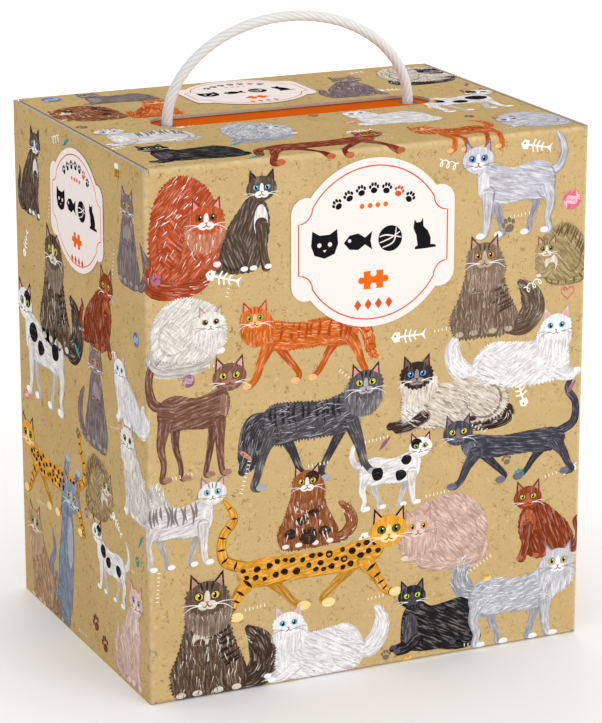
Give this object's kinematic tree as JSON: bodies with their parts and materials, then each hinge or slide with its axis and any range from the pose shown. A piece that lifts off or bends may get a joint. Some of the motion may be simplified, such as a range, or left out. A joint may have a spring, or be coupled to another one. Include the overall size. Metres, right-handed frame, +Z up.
{
  "type": "boxed jigsaw puzzle",
  "caption": "Upright folded-board puzzle box with two interlocking hinged lids, a rope handle through a slot in the top, and a bag of loose jigsaw pieces inside.",
  "frame": {"origin": "middle of the carton's base, on the surface it stands on", "axes": "+Z up; -Y is the front wall with the outer lid's hinge; +X is to the right seen from the front"},
  "size_m": [0.195, 0.15, 0.2614],
  "materials": {
    "printed_board": "brown kraft-look print with painted animals, satin varnish",
    "orange_board": "flat orange print, satin varnish",
    "raw_board": "unprinted board, matt",
    "rope": "twisted off-white cord, matt with a slight sheen",
    "bag_film": "thin clear film",
    "puzzle_board": "printed face, grey cut edge and back",
    "sheet_paper": "folded printed paper, semi-matt"
  },
  "bodies": {
    "carton": {"front_wall": "printed_board", "back_wall": "printed_board", "left_wall": "printed_board", "right_wall": "printed_board", "glue_flap": "raw_board", "bottom_outer_flap": "printed_board", "bottom_inner_flap": "raw_board", "puzzle_bag": "bag_film", "piece_heap": "puzzle_board", "picture_sheet": "sheet_paper", "puzzle_piece_01": "puzzle_board", "puzzle_piece_02": "puzzle_board", "puzzle_piece_03": "puzzle_board", "puzzle_piece_04": "puzzle_board", "puzzle_piece_05": "puzzle_board", "puzzle_piece_06": "puzzle_board", "puzzle_piece_07": "puzzle_board", "puzzle_piece_08": "puzzle_board", "puzzle_piece_09": "puzzle_board", "puzzle_piece_10": "puzzle_board", "puzzle_piece_11": "puzzle_board", "puzzle_piece_12": "puzzle_board", "puzzle_piece_13": "puzzle_board", "puzzle_piece_14": "puzzle_board", "puzzle_piece_15": "puzzle_board", "puzzle_piece_16": "puzzle_board", "puzzle_piece_17": "puzzle_board", "puzzle_piece_18": "puzzle_board", "puzzle_piece_19": "puzzle_board", "puzzle_piece_20": "puzzle_board", "puzzle_piece_21": "puzzle_board", "puzzle_piece_22": "puzzle_board", "puzzle_piece_23": "puzzle_board", "puzzle_piece_24": "puzzle_board"},
    "outer_lid": {"outer_lid": "printed_board"},
    "tuck_tab": {"tuck_tab": "printed_board"},
    "inner_lid": {"inner_lid": "orange_board", "rope_knot_left": "rope", "rope_knot_right": "rope"},
    "handle": {"rope_arch": "rope"}
  },
  "joints": [
    {"name": "outer_lid_hinge", "type": "hinge", "parent": "carton", "child": "outer_lid", "pos_m": [0, -0.0728, 0.2178], "axis": [1, 0, 0], "range_deg": [0, 180]},
    {"name": "tuck_tab_crease", "type": "hinge", "parent": "outer_lid", "child": "tuck_tab", "pos_m": [0, 0.0728, 0.2178], "axis": [1, 0, 0], "range_deg": [0, 36]},
    {"name": "inner_lid_hinge", "type": "hinge", "parent": "carton", "child": "inner_lid", "pos_m": [0, 0.0728, 0.2163], "axis": [-1, 0, 0], "range_deg": [0, 81]},
    {"name": "handle_tilt", "type": "hinge", "parent": "inner_lid", "child": "handle", "pos_m": [0, 0.0055, 0.2188], "axis": [1, 0, 0], "range_deg": [-70, 70], "stiffness_Nm_per_rad": 0.01, "deforming": ["rope_arch"]}
  ],
  "couplings": [
    {"joint": "tuck_tab_crease", "follows": "outer_lid_hinge", "ratio": 0.2},
    {"joint": "inner_lid_hinge", "follows": "outer_lid_hinge", "ratio": 0.45}
  ]
}
